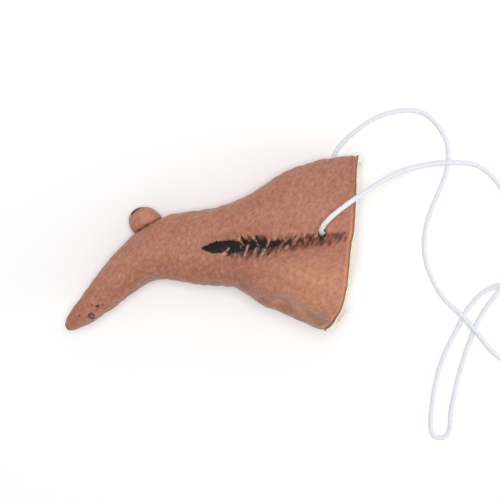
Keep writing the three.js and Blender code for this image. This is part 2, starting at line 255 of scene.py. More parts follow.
# Paint in the crease. A pair of rows gives places along x and what something is there. A cut is
# where noise starts to count and where it counts in full.
BLACK_HALF = (
    (-49.3, -48.4, -47.1, -45, -41.6, -37.5, -33, -29, -24, -18, -10, -3),
    (0.05, 0.6, 1.3, 2.1, 2.25, 2, 1.9, 1.6, 1.3, 1.1, 1, 0.7),
)
BLACK_DEPTH = ((-38, -30, -24, -18, -10, -3), (1, 0.92, 0.76, 0.56, 0.42, 0.15))
BLACK_EDGE = (-0.4, 0.3)
BLACK_RUN = (-49.7, -48.9)
BLACK_END = (-1, -4)
LOOSE_RUN = (-46, -36)  # x over which the smooth leaf at the left turns ragged
RAGGEDNESS = (0.35, 0.8)
LEAF_BLUR = 0.6
SLASH_BLACK = ((-36, -12, -3), (1, 0.8, 0.5))
SLASH_PAINT = 0.75
SLASH_HAIR = 0.5
BROWN_DEPTH = ((-30, -12, -3), (1, 1, 0.6))
BROWN_REACH = ((-34, -22), (1.15, 0.8))
BROWN_RUN = (-47, -36)
BROWN_RAGGEDNESS = 0.8
BROWN_DROP = 0.5
BROWN_LEAST = 0.2
BROWN_FULL = 1.5
BROWN_HAIR = 0.7
HALF_SHARE = 0.6
SPECK_GRAIN = (0.85, 21)
SPECK_CUT = (0.3, 0.6)
SPECK_RUN = (-40, -34)
SPECK_BAND = (0.65, 0, 2.2)
FOLD_PAINT = 0.85
FOLD_GRAIN = (0.7, 0.8, 31)
FOLD_CLEARS_BLACK = 0.95
FOLD_CLEARS_BROWN = 0.65
PATCH_GRAIN = (1.5, 27)
PATCH_HAIR = 0.5
PATCH_CUT = (-0.35, 0.3)
PATCH_RUN = (-30, -20)
PATCHY_BLACK = 0.8
PATCHY_BROWN = 0.68
CRINKLE_LEAN = 0.6
CRINKLE_DRAWN = 0.5
CRINKLE_GRAIN = (0.8, 17)
CRINKLE_CUT = (0.08, 0.4)
CRINKLE_BANDS = ((1, -4.2, 2), (0.5, 3.4, 1.6))
CRINKLE_REACH = (0.68, -33, 7)
PALE_END = (-10, -26)

# Paint elsewhere, with painted highlights, sheen and shade among it: bands, grains and runs as for
# the relief, and how strong each mark is.
SIDE_RUN = (1.5, 3)
NEAR_SIDE_RUN = (0.5, 1.5)
LIP_HIGHLIGHT = (1, 1, 0.2)
LIP_EVEN = 0.8
LIP_GRAIN = (0.5, 2.2, 6.3)
LIP_LOSS = 0.8
LIP_LOSS_RUN = (34, 44)
EDGE_SHADE = 0.55
EDGE_SHADE_RUN = (0.75, 0.3)
RIDGE_SHEEN = (0.8, 0, 0.65)
RIDGE_RUN = (-31.5, -29)
HOLLOW_HIGHLIGHT = (0.4, 1.9, 0.8)
HOLLOW_RUN = (-28, -26)
HOLLOW_END = (-13, -19)
HOLLOW_SHADE_LINE = (0.75, 0.85, 0.3)
HOLLOW_SHADE_REACH = (1, -23, 2.6)
RING_BROWN = 1.25
DOT_BROWN = 0.85
FLECK_BLACK = 0.9
SLIT_BLACK = 0.85
HOLE_SHADE_SHIFT = 0.15
HOLE_SHADE_RUN = (1.6, 1.15)
DAB_BLACK = 0.95
DAB_GRAIN = (0.35, 0.9, 3.3)
DAB_RUN = (1.2, 0.6)
JOIN_RUN = (1.5, 0.3)
JOIN_EVEN = 0.75
JOIN_GRAIN = (0.3, 1.6, 5.1)
LIMB_RUN = (0.35, 0.05)
LIMB_SHADE = 0.6
WART_HIGHLIGHT_SPREAD = 1.9
WART_HIGHLIGHT_SHARE = 0.12
WART_LIT_SHARE = 0.6
SILHOUETTE_RUN = (0.2, 0)
SILHOUETTE_FROM_RIM = 0.4
EDGE_SHEEN = (0.35, 0.32, 0.12)
EDGE_SHEEN_FROM_RIM = 1.5
WING_RUN = (-36, -28)  # x over which the arm turns into the wing
ARM_SHADE_RUN = (11, 1)  # over the underside
ARM_SHADE_START = (-88, -80)
WING_SHADE = 0.8
WING_SHADE_RUN = (6, 1.5)
TIP_SHADE_RUN = (-82, -93)
RIM_SHADE = (1, 1.7, 0.5)
RIM_SHADE_RUN = (42, 50)
LOW_SHADE = (0.8, -3.4, 2)
LOW_SHADE_REACH = (1, -25, 9)
LIT_AT = (-9, 13)
LIT_SIZE = (12, 11)
LIT_RUN = (2, 6)

# Mesh density.
AROUND = 244
OUTSIDE_ROWS = 306
INSIDE_ROWS = 46
CROWDED_RUN = 52  # millimetres from the rim where the rows are closer
RIM_CROWDING = 1.4
TIP_MARKS_RUN = 10  # millimetres from the tip, where they are closer too
TIP_CROWDING = 2
RIM_ROWS = 14  # fine rows next to the rim
RIM_ROW = 0.22  # millimetres between them
SIDE_CROWDING = 0.15  # of the columns towards the middle of the sides
CROWDING_BLUR = 4  # millimetres over which a density changes
CAP_ROWS = 6
RIM_SHARES = (0.06, 0.35, 0.65, 0.94)  # rows across the cut, as shares of the wall
INSIDE_FINE_ROWS = 3
INSIDE_GRAIN = (-0.25, 7, 4.2)
CORD_SIDES = 16
KNOT_SIDES = 20
CUTTER_SIDES = 32
CUTTER_ROWS = 9
WART_SUBDIVISIONS = 5

# Sampling.
TUBE_SIDE = (0.3, 0.2, 1.0)  # any way that no tube starts along
SLOPE_TURN = math.pi / 52  # angle to each side over which the skin's slope is taken
RIM_REACH = 6  # ribs within which the rim cuts the skin
RIM_SAMPLES = 900
RUN_SAMPLES = 2000
CROWDING_SAMPLES = 400
ROUTE_STEPS = 24

# Materials. A noise has its scale, detail and roughness, and a cut as in the paint.
PATCHES = (60, 3, 0.55)
PATCHES_CUT = (0.4, 0.62)
MOTTLE = (880, 4, 0.68)
LIGHT_CUT = (0.48, 0.7)
LIGHT_AMOUNT = (0.25, 0.5)  # slope with the painted highlight of the lit side, and amount without it
DEEP_CUT = (0.51, 0.33)
DEEP_AMOUNT = (-0.12, 0.45)
SPOTS = (460, 2, 0.55)
SPOTS_CUT = (0.5, 0.66)
SPOTS_AMOUNT = 0.5
TINT = (240, 2, 0.5)
PEBBLE_SCALE = 1300
PEBBLE_HEIGHT = 0.5
FRAY = 0.8
BROWN_CUT = (0.15, 0.95)
BROWN_AMOUNT = 0.9
BLACK_CUT = (0.2, 0.8)
STAIN = (90, 3, 0.6)
STAIN_CUT = (0.35, 0.7)
FINE_GRAIN = (900, 3, 0.6)
FIBRE = (2500, 2, 0.5)
FIBRE_CUT = (0.35, 0.65)
TABLE_NOISE_SCALE = 8
TABLE_EMISSION = 0.07
TABLE_REACH = 3
WORLD_STRENGTH = 0.5
LIGHTS = {  # place, size and power
    "key": ((0.05, 0.15, 0.9), 0.4, 4.2),
    "fill": ((0.8, -0.2, 0.3), 0.4, 1.3),
}


def srgb(red, green, blue):
    """A colour given as 0 to 255, as the shader takes it."""
    linear = [(value / 255 / 12.92 if value < 11 else ((value / 255 + 0.055) / 1.055) ** 2.4)
              for value in (red, green, blue)]
    return (*linear, 1)


STREAK_TURN = (0, 0, math.radians(-32))
STREAK_SCALE = (1, 1.5, 1.2)
PINK_SKIN = srgb(176, 115, 96)
TAN_SKIN = srgb(180, 121, 94)
# Painted light: the skin where the wing's bulge is lit.
LIT_SKIN = srgb(206, 141, 109)
SHADED_SKIN = srgb(150, 94, 74)
MAUVE_SKIN = srgb(182, 124, 114)
OCHRE_SKIN = srgb(188, 132, 96)
PALE_SKIN = srgb(210, 152, 124)
DEEP_SKIN = srgb(146, 86, 68)
# Painted highlight on the rim's lip, in the nostril's hollow and on the wart.
HIGHLIGHT_PAINT = srgb(242, 172, 130)
# Bare folds of the crease, lighter for a painted highlight.
BARE_FOLD_HIGHLIGHT = srgb(224, 182, 156)
# Painted shade along the silhouette.
SILHOUETTE_SHADE = srgb(122, 92, 84)
# Painted sheen on the nostril's edge and just inside the silhouette.
SHEEN_PAINT = srgb(170, 134, 126)
# Brown paint, which also stands for painted shade at the rim's edge, below the nostril's edge and
# round the wart.
BROWN_PAINT = srgb(84, 44, 34)
BLACK_PAINT = srgb(12, 8, 7)
SHEEN = srgb(190, 170, 190)
CREAM = srgb(252, 246, 230)
CREAM_SHADE = srgb(248, 236, 214)
ELASTIC_WHITE = srgb(238, 239, 243)
ELASTIC_BLUE = srgb(224, 227, 237)
TABLE_WHITE = srgb(250, 250, 250)
TABLE_SHADE = srgb(247, 247, 247)
# Coats over the latex, each with the attribute that places it, its amount and its colour; the lit
# side, the shade, the highlights, the sheen and the outline are painted light and shade, and the
# folds are lighter for a painted highlight. Each tint has its cut, amount and colour.
TONES = (("lit_side", 0.7, LIT_SKIN), ("shade", 0.6, SHADED_SKIN))
TINTS = ((0.45, 0.7, 0.3, MAUVE_SKIN), (0.5, 0.3, 0.3, OCHRE_SKIN))
COATS = (
    ("highlight", 0.9, HIGHLIGHT_PAINT),
    ("fold_highlight", 0.6, BARE_FOLD_HIGHLIGHT),
    ("painted_sheen", 0.5, SHEEN_PAINT),
    ("outline", 0.25, SILHOUETTE_SHADE),
)


# Camera, lines and meshes.


def linked(name, data):
    made = bpy.data.objects.new(name, data)
    bpy.context.collection.objects.link(made)
    return made


def make_camera():
    back = Vector((
        math.sin(CAMERA_SIDEWAYS) * math.cos(CAMERA_TIP),
        math.sin(CAMERA_TIP),
        math.cos(CAMERA_SIDEWAYS) * math.cos(CAMERA_TIP),
    ))
    level = Vector((0, 1, 0)).cross(back).normalized()
    upright = back.cross(level)
    right = level * math.cos(CAMERA_SPIN) + upright * math.sin(CAMERA_SPIN)
    up = upright * math.cos(CAMERA_SPIN) - level * math.sin(CAMERA_SPIN)
    data = bpy.data.cameras.new("camera")
    data.lens = CAMERA_LENS
    data.sensor_width = CAMERA_SENSOR
    data.clip_start = CAMERA_CLIP
    camera = linked("camera", data)
    turn = Matrix((right, up, back)).transposed().to_4x4()
    camera.matrix_world = Matrix.Translation(CAMERA_TARGET + back * CAMERA_DISTANCE) @ turn
    bpy.context.scene.camera = camera


def catmull_rom(points, steps):
    """A smooth line through points, with the same number of steps between each two."""
    ends = [2 * points[0] - points[1], *points, 2 * points[-1] - points[-2]]
    line = []
    for before, start, end, after in zip(ends, ends[1:], ends[2:], ends[3:]):
        gaps = [max(np.linalg.norm(b - a) ** 0.5, 1e-9)
                for a, b in ((before, start), (start, end), (end, after))]
        slope_in = ((start - before) / gaps[0] - (end - before) / (gaps[0] + gaps[1])
                    + (end - start) / gaps[1]) * gaps[1]
        slope_out = ((end - start) / gaps[1] - (after - start) / (gaps[1] + gaps[2])
                     + (after - end) / gaps[2]) * gaps[1]
        for step in range(steps):
            t = step / steps
            line.append(start + slope_in * t
                        + (3 * (end - start) - 2 * slope_in - slope_out) * t**2
                        + (2 * (start - end) + slope_in + slope_out) * t**3)
    line.append(points[-1])
    return np.array(line)


def run_along(line):
    """Lengths along a line up to each of its points."""
    return np.concatenate([[0], np.cumsum(np.linalg.norm(np.diff(line, axis=0), axis=1))])


def evenly(line, gap):
    """The same line with points a fixed gap apart."""
    run = run_along(line)
    places = np.linspace(0, run[-1], max(2, round(run[-1] / gap)) + 1)
    return np.stack([np.interp(places, run, line[:, axis]) for axis in range(3)], 1)


def mesh_object(name, points, faces):
    mesh = bpy.data.meshes.new(name)
    mesh.from_pydata(np.asarray(points).tolist(), [], faces)
    mesh.update()
    mesh.polygons.foreach_set("use_smooth", [True] * len(mesh.polygons))
    return linked(name, mesh)


def round_turn(count):
    """Angles all the way round."""
    return np.linspace(0, 2 * math.pi, count, endpoint=False)


def ring_faces(rows, around):
    """Quads between rows of points, each row being a closed ring, then fans that close both ends.

    The middles of the two fans are the points that follow the rows.
    """
    at = lambda row, step: row * around + step % around
    first, last = at(rows, 0), at(rows, 1)
    return [
        *((at(row, step), at(row, step + 1), at(row + 1, step + 1), at(row + 1, step))
          for row in range(rows - 1)
          for step in range(around)),
        *((first, at(0, step + 1), at(0, step)) for step in range(around)),
        *((last, at(rows - 1, step), at(rows - 1, step + 1)) for step in range(around)),
    ]


def tube(name, line, radius_at, sides):
    """A closed tube of a radius that may change along it and round it."""
    tangent = np.gradient(line, axis=0)
    tangent /= np.linalg.norm(tangent, axis=1)[:, None]
    across = np.zeros_like(line)
    side = np.cross(tangent[0], TUBE_SIDE)
    for index, way in enumerate(tangent):
        side = side - way * side.dot(way)
        side /= np.linalg.norm(side)
        across[index] = side
    upward = np.cross(tangent, across)
    angle = round_turn(sides)
    radius = radius_at(run_along(line)[:, None], angle[None, :])
    ring = (across[:, None] * np.cos(angle)[None, :, None]
            + upward[:, None] * np.sin(angle)[None, :, None])
    points = line[:, None] + ring * radius[..., None]
    ends = [line[0], line[-1]]
    faces = ring_faces(len(line), sides)
    return mesh_object(name, np.concatenate([points.reshape(-1, 3), ends]), faces)


# Shape of the nose, in millimetres in its own frame.


def between(table, column, place):
    """A column of a table at places between its rows, on a smooth curve through them."""
    values = np.array([row[column] for row in table], float)
    last = len(values) - 1
    reached = np.clip(place, 0, last)
    start = np.minimum(np.floor(reached).astype(int), last - 1)
    share = reached - start
    before, here, ahead, after = (
        values[np.clip(start + step, 0, last)] for step in (-1, 0, 1, 2)
    )
    slope_in = (ahead - before) / 2
    slope_out = (after - here) / 2
    bend = 3 * (ahead - here) - 2 * slope_in - slope_out
    twist = 2 * (here - ahead) + slope_in + slope_out
    return here + share * (slope_in + share * (bend + share * twist))


def rib(name, place):
    return between(RIBS, RIB_COLUMNS.index(name), place)


def dent(name, place):
    return np.maximum(0, between(DENTS, DENT_COLUMNS.index(name), place))


def smoothstep(value, low, high):
    share = np.clip((value - low) / (high - low), 0, 1)
    return share * share * (3 - 2 * share)


def mix(first, second, share):
    return first + (second - first) * share


def bell(distance, spread):
    return np.exp(-((distance / spread) ** 2) / 2)


def roundness(down):
    return np.power(np.maximum(4 * down * (1 - down), 0), SIDE_FULLNESS / 2)


def half_width(place, down):
    full = lambda name, at: rib(name, place) / roundness(at)
    waist = full("waist", WAIST_AT)
    upper = mix(full("bridge", BRIDGE_AT), waist, smoothstep(down, BRIDGE_AT, WAIST_AT))
    width = mix(upper, full("wing", WING_AT), smoothstep(down, WAIST_AT, WING_AT))
    return width * roundness(down) * WIDTH / 2


def rib_ends(place):
    top = np.stack([-rib("top_x", place) * LENGTH, rib("top_y", place) * HEIGHT], -1)
    under = np.stack([-rib("under_x", place) * LENGTH, rib("under_y", place) * HEIGHT], -1)
    return top, under


def skin_point(place, angle, inset):
    """Points of the skin, inset by a depth, at places along the ribs and angles round them."""
    place, angle = np.broadcast_arrays(np.asarray(place, float), np.asarray(angle, float))
    top, under = rib_ends(place)
    chord = under - top
    tall = np.linalg.norm(chord, axis=-1)

    def outline(turn):
        down = (1 - np.cos(turn)) / 2
        return down * tall, np.sign(np.round(np.sin(turn), 6)) * half_width(place, down)

    behind, ahead = outline(angle - SLOPE_TURN), outline(angle + SLOPE_TURN)
    inward = np.stack([ahead[1] - behind[1], behind[0] - ahead[0]], -1)
    inward /= np.linalg.norm(inward, axis=-1)[..., None]
    folded = np.minimum(angle % (2 * math.pi), 2 * math.pi - angle % (2 * math.pi))
    depth = (inset
             + dent("crease", place) * CREASE_DEPTH * bell(folded - CREASE_AT, CREASE_SPREAD)
             + dent("nostril", place) * NOSTRIL_DEPTH * bell(folded - NOSTRIL_AT, NOSTRIL_SPREAD))
    down, out = outline(angle)
    down = down + inward[..., 0] * depth
    out = out + inward[..., 1] * depth
    profile = top + chord * (down / tall)[..., None]
    return np.concatenate([profile, out[..., None]], -1)


def trim(point):
    """How far the scissors strayed outwards from the plain rim, beside points of the skin."""
    y, upper = point[..., 1], smoothstep(point[..., 2], *TRIM_CHANGE)
    far, near = (np.interp(y, TRIM_HEIGHT, side) for side in (TRIM_FAR, TRIM_NEAR))
    waver = sum(high * np.sin(rate * y + shift * upper) for high, rate, shift in TRIM_WAVERS)
    return mix(far, near, upper) + waver


def inside_rim(point):
    """How far points are ahead of the plain rim, below zero where they are cut away."""
    x, y = point[..., 0], point[..., 1]
    corner_top = RIM_CORNER_RADIUS * (1 - math.sin(RIM_LEAN))
    corner_x = -(HEIGHT - corner_top) * math.tan(RIM_LEAN) - RIM_CORNER_RADIUS * math.cos(RIM_LEAN)
    straight = (-(HEIGHT - y) * math.tan(RIM_LEAN) - x) * math.cos(RIM_LEAN)
    right, low = x - corner_x, RIM_CORNER_RADIUS - y
    cornered = (right > 0) & (low > right * math.tan(RIM_LEAN))
    return np.where(cornered, RIM_CORNER_RADIUS - np.hypot(right, low), straight)


def rim_place(angle, inset, trimmed):
    """The place along the ribs where the rim cuts each column of the skin."""
    places = np.linspace(0, RIM_REACH, RIM_SAMPLES)
    points = skin_point(places[:, None], angle[None, :], inset)
    ahead = inside_rim(points) + trimmed * trim(points)
    last_cut = len(places) - 1 - np.argmax((ahead < 0)[::-1], axis=0)
    last_cut = np.where((ahead < 0).any(0), last_cut, 0)
    columns = np.arange(len(angle))
    low, high = ahead[last_cut, columns], ahead[last_cut + 1, columns]
    share = np.clip(-low / np.maximum(high - low, 1e-9), 0, 1)
    return places[last_cut] + share * (places[1] - places[0])


def centre_run():
    """Lengths along the middle of the nose, and the places along the ribs that they reach."""
    places = np.linspace(0, len(RIBS) - 1, RUN_SAMPLES)
    top, under = rib_ends(places)
    middle = (top + under) / 2
    return run_along(middle), places, middle


def crowded(share, length):
    """Shares of a length, closer together near the rim and at the marks of the tip."""
    reached = np.linspace(0, length, CROWDING_SAMPLES)
    loose = smoothstep(reached, CROWDED_RUN - CROWDING_BLUR, CROWDED_RUN + CROWDING_BLUR)
    density = 1 + RIM_CROWDING * (1 - loose)
    density += TIP_CROWDING * bell(reached - length + TIP_MARKS_RUN, CROWDING_BLUR)
    total = np.concatenate([[0], np.cumsum(density[1:] + density[:-1])])
    return np.interp(share, total / total[-1], reached / length)


def skin_rows(angle, inset, end_place, count, fine, trimmed=True):
    """Rows of places from the rim to an end, the first ones close together."""
    run, places, _ = centre_run()
    start = np.interp(rim_place(angle, inset, trimmed), places, run)
    end = np.interp(end_place, places, run)
    close = np.arange(fine) * RIM_ROW
    rest = crowded(np.linspace(0, 1, count - fine), run[-1])
    rows = np.array([*(start + distance for distance in close),
                     *(mix(start + fine * RIM_ROW, end, share) for share in rest)])
    return np.interp(rows, run, places), rows - start


def grid_normals(grid):
    along = np.gradient(grid, axis=0)
    around = np.roll(grid, -1, axis=1) - np.roll(grid, 1, axis=1)
    normal = np.cross(around, along)
    return normal / np.maximum(np.linalg.norm(normal, axis=-1), 1e-9)[..., None]


def grain(points, size, seed=0.0):
    """Smooth noise of a grain size at points, between about -1 and 1."""
    shifted = points.reshape(-1, 3) / size + seed
    values = [noise.noise(Vector(point)) for point in shifted.tolist()]
    return np.array(values).reshape(points.shape[:-1])


def grains(points, *rows):
    """Sum of noises, each with its height, size and seed."""
    return sum(height * grain(points, size, seed) for height, size, seed in rows)


def bands(distance, *rows):
    """Sum of bands across a distance, each with its height, middle and spread."""
    return sum(height * bell(distance - middle, spread) for height, middle, spread in rows)


def off_stretch(point, start, end):
    """Distance of points from a straight stretch, and the share of it at which they are."""
    step = np.subtract(end, start)
    share = np.clip(((point - start) @ step) / (step @ step), 0, 1)
    return np.linalg.norm(point - start - share[..., None] * step, axis=-1), share


def off_ridge(point):
    """Distance of points from the edge of the nostril hollow on their side."""
    flat = np.stack([point[..., 0], point[..., 1], np.abs(point[..., 2]) * SIDEWAYS_SHARE], -1)
    ridge = np.array(NOSTRIL_RIDGE) * (1, 1, SIDEWAYS_SHARE)
    nearest = np.full(flat.shape[:-1], np.inf)
    for start, end in zip(ridge, ridge[1:]):
        nearest = np.minimum(nearest, off_stretch(flat, start, end)[0])
    below = point[..., 1] < np.interp(point[..., 0], ridge[:, 0], ridge[:, 1])
    return nearest, below


def strokes(point, table):
    """How much points are on any of the tapered short strokes of a table, from 0 to 1."""
    bent = point[..., :2] + np.stack([grains(point, bend) for bend in STROKE_BENDS], -1)
    amount = np.zeros(point.shape[:-1])
    for x, y, to_x, to_y, half in table:
        gap, share = off_stretch(bent, (x, y), (to_x, to_y))
        amount = np.maximum(amount, bell(gap, half * mix(*STROKE_TAPER, share)))
    return amount


def dots(point, table):
    """How much points are on any of the round dots of a table, from 0 to 1."""
    amount = np.zeros(point.shape[:-1])
    for x, y, size in table:
        gap = np.hypot(point[..., 0] - x, point[..., 1] - y)
        amount = np.maximum(amount, bell(gap, size))
    return amount


def tip_ring(point):
    x, y, size = TIP_RING
    off_centre = np.hypot(point[..., 0] - x, point[..., 1] - y) + grains(point, RING_GRAIN)
    return bell(off_centre - size, RING_LINE)


def above_crease(point):
    return point[..., 1] - np.interp(point[..., 0], *CREASE_LINE)


def over_edge(point):
    """Height of points over the underside of the profile."""
    edge = np.array([(-row[2] * LENGTH, row[3] * HEIGHT) for row in RIBS[::-1]])
    return point[..., 1] - np.interp(point[..., 0], edge[:, 0], edge[:, 1])


def hairs(point):
    """Noise in short streaks that lean as the folds of the crease do, between -1 and 1."""
    x, y, z = point[..., 0], point[..., 1], point[..., 2]
    above = above_crease(point)
    before, after, below = HAIR_LEANS
    lean = np.where(above > 0, mix(before, after, smoothstep(x, *HAIR_RUN)), below)
    return grain(np.stack([x - lean * above, y, z], -1) / HAIR_SIZE, 1, HAIR_SEED)


def relief(point, from_rim):
    """Height of the skin's own relief over its plain shape, in millimetres."""
    x, z = point[..., 0], point[..., 2]
    above = above_crease(point)
    in_crease = smoothstep(x, *CREASE_RUN)
    streaks = bands(above, *STREAKS) * hairs(point) * in_crease * smoothstep(x, *STREAKS_END)
    valley = bands(above, VALLEY) * in_crease * smoothstep(x, *VALLEY_END)
    folds = FOLD_HEIGHT * strokes(point, FOLDS) - SLASH_DEPTH * strokes(point, SLASHES)
    gap, below = off_ridge(point)
    nostril = (bands(gap, RIDGE) + bands(gap, FURROW) * below) * (np.abs(z) > FURROW_ASIDE)
    pits = RING_DEPTH * tip_ring(point) + SLIT_DEPTH * strokes(point, TIP_SLIT)
    pits = -(pits + DOT_DEPTH * dots(point, DOTS)) * (z > MARKS_ASIDE)
    lip = bands(from_rim, LIP_ROLL) - LIP_DROP * smoothstep(from_rim, *LIP_DROP_RUN)
    lumps = grains(point, *LUMPS) * mix(TIP_CALM, 1, smoothstep(x, *TIP_CALM_RUN))
    at_edges = smoothstep(np.abs(z), *EDGE_RUN) * smoothstep(x, *EDGE_LUMPS_RUN)
    lumps += grains(point, EDGE_LUMPS) * at_edges
    height = lumps + grains(point, *PEBBLES) + streaks + folds + valley + nostril + pits
    return height * mix(RIM_CALM, 1, smoothstep(from_rim, *RIM_CALM_RUN)) + lip


def dome_rows(ring, reach):
    """Rows that round off a ring of points, up to a reach out from its middle."""
    centre = ring.mean(0)
    bows = [math.pi / 2 * step / CAP_ROWS for step in range(1, CAP_ROWS)]
    return [centre + (ring - centre) * math.cos(bow) + reach * math.sin(bow) for bow in bows]


def nose_mesh():
    """The nose as one closed grid: the skin, its cap, the cut rim, the hollow and its dome."""
    turn = round_turn(AROUND)
    angle = turn + SIDE_CROWDING * np.sin(2 * turn)
    last = len(RIBS) - 1
    places, from_rim = skin_rows(angle, 0, last, OUTSIDE_ROWS, RIM_ROWS)
    outside = skin_point(places, angle[None, :], 0)
    normal = grid_normals(outside)
    outside = outside + normal * relief(outside, from_rim)[..., None]

    tip = np.array([-TIP[0] * LENGTH, TIP[1] * HEIGHT, 0])
    cap = dome_rows(outside[-1], tip - outside[-1].mean(0))

    _, run_places, middle = centre_run()
    hollow_end = np.interp(LENGTH - TIP_SOLID, -middle[:, 0], run_places)
    inner_places, _ = skin_rows(angle, WALL, hollow_end, INSIDE_ROWS, INSIDE_FINE_ROWS)
    inside = skin_point(inner_places, angle[None, :], WALL)
    inside = inside + grid_normals(inside) * grains(inside, INSIDE_GRAIN)[..., None]
    end_centre = inside[-1].mean(0)
    onward = end_centre - inside[-4].mean(0)
    onward /= np.linalg.norm(onward)
    reach = onward * np.linalg.norm(inside[-1] - end_centre, axis=1).min()
    dome = dome_rows(inside[-1], reach)

    rim = [mix(outside[0], inside[0], share) for share in RIM_SHARES]
    rows = [*cap[::-1], *outside[::-1], *rim, *inside, *dome]
    points = np.concatenate([*rows, [tip], [end_centre + reach]])
    faces = ring_faces(len(rows), AROUND)
    made = mesh_object("latex_nose", points, faces)
    painted = (len(cap) + OUTSIDE_ROWS - 1) * AROUND
    bare = np.zeros(len(faces), int)
    bare[painted: (len(rows) - 1) * AROUND] = 1
    bare[-AROUND:] = 1
    made.data.polygons.foreach_set("material_index", bare)
    return made


def wart_mesh():
    """The wart as a lumpy ball with a skirt towards the skin ahead of it, and its middle."""
    top, under = rib_ends(np.array(WART_RIB))
    outward = (top - under) / np.linalg.norm(top - under)
    centre = np.array([*(top + outward * WART_STANDOFF), 0])
    ball = bmesh.new()
    bmesh.ops.create_icosphere(ball, subdivisions=WART_SUBDIVISIONS, radius=WART_DIAMETER / 2)
    points = np.array([vertex.co for vertex in ball.verts])
    faces = [[vertex.index for vertex in face.verts] for face in ball.faces]
    ball.free()
    out = points / np.linalg.norm(points, axis=1)[:, None]
    along = np.array([outward[1], -outward[0]])
    beside, above = out[:, :2] @ along, out[:, :2] @ outward
    height = WART_WIDER * np.abs(beside) + WART_TALLER * np.maximum(above, 0)
    height += WART_BULGE * smoothstep(beside, 0.2, 1) * bell(above - 0.1, 0.5)
    height += grains(points + centre, *WART_GRAIN)
    points = points + out * height[:, None]
    skirt = WART_SKIRT * smoothstep(beside, 0.1, 0.9) * (1 - smoothstep(above, -0.3, 0.45))
    points[:, :2] += skirt[:, None] * along
    return mesh_object("wart", points + centre, faces), centre


def hole_cutter():
    line = np.array([[*HOLE, z] for z in np.linspace(-WIDTH, WIDTH, CUTTER_ROWS)], float)
    radius = CORD_DIAMETER / 2 + CORD_CLEARANCE
    return tube("hole_cutter", line, lambda run, turn: radius + 0 * run * turn, CUTTER_SIDES)


def carve(made, cutter, operation):
    bpy.context.view_layer.update()
    step = made.modifiers.new(operation, "BOOLEAN")
    step.operation = operation
    step.solver = "MANIFOLD"
    step.object = cutter
    settled = bpy.data.meshes.new_from_object(
        made.evaluated_get(bpy.context.evaluated_depsgraph_get())
    )
    made.modifiers.clear()
    made.data = settled
    bpy.data.objects.remove(cutter)


def vertex_values(mesh, name):
    values = np.zeros(len(mesh.vertices) * 3)
    mesh.vertices.foreach_get(name, values)
    return values.reshape(-1, 3)


def attribute_values(mesh, name):
    values = np.zeros(len(mesh.vertices), np.float32)
    mesh.attributes[name].data.foreach_get("value", values)
    return values


def set_attribute(mesh, name, values):
    attribute = mesh.attributes.new(name, "FLOAT", "POINT")
    attribute.data.foreach_set("value", np.clip(values, 0, 1).astype(np.float32))


def crease_paint(point, side):
    """Black paint in the crease, the brown round it, and the bare folds that break both and are
    lighter for a painted highlight.
    """
    x = point[:, 0]
    above = above_crease(point)
    hair = hairs(point)
    half = np.interp(x, *BLACK_HALF)
    loose = smoothstep(x, *LOOSE_RUN)
    within = smoothstep(x, *BLACK_RUN) * smoothstep(x, *BLACK_END) * side

    specks = smoothstep(grain(point, *SPECK_GRAIN), *SPECK_CUT) * smoothstep(x, *SPECK_RUN)
    folds = strokes(point, FOLDS) * (FOLD_PAINT + grains(point, FOLD_GRAIN))
    folds = np.clip(np.maximum(folds, specks * bands(above, SPECK_BAND)), 0, 1)

    patches = smoothstep(grain(point, *PATCH_GRAIN) + PATCH_HAIR * hair, *PATCH_CUT)
    patches = mix(1, patches, smoothstep(x, *PATCH_RUN))

    off_black = np.abs(above) - half - mix(*RAGGEDNESS, loose) * hair
    blur = LEAF_BLUR * (1 - loose) * smoothstep(above, 0, 1)
    black = 1 - smoothstep(off_black, BLACK_EDGE[0] - blur, BLACK_EDGE[1] + blur)
    black = black * within * np.interp(x, *BLACK_DEPTH) * (1 - FOLD_CLEARS_BLACK * folds)
    slashes = strokes(point, SLASHES) * np.interp(x, *SLASH_BLACK) * side
    black = np.maximum(black, slashes * (SLASH_PAINT + SLASH_HAIR * hair))
    black = black * mix(PATCHY_BLACK, 1, patches)

    reach = HALF_SHARE * half + np.interp(x, *BROWN_REACH) + BROWN_RAGGEDNESS * hair
    soft = bell(above + BROWN_DROP * loose, np.maximum(reach, BROWN_LEAST))
    soft = np.minimum(1, BROWN_FULL * soft) * (1 + BROWN_HAIR * hair)
    brown = soft * within * smoothstep(x, *BROWN_RUN) * np.interp(x, *BROWN_DEPTH)
    brown = brown * (1 - FOLD_CLEARS_BROWN * folds) * mix(PATCHY_BROWN, 1, patches)
    leaning = np.stack([x - CRINKLE_LEAN * above, CRINKLE_DRAWN * above, point[:, 2]], -1)
    crinkles = smoothstep(grain(leaning, *CRINKLE_GRAIN), *CRINKLE_CUT)
    crinkles = crinkles * np.maximum(*(bands(above, row) for row in CRINKLE_BANDS))
    brown = np.maximum(brown, crinkles * bands(x, CRINKLE_REACH) * side)
    # The folds and specks come back lighter than bare latex, as a painted highlight.
    return black, brown, folds * side * smoothstep(x, *PALE_END)


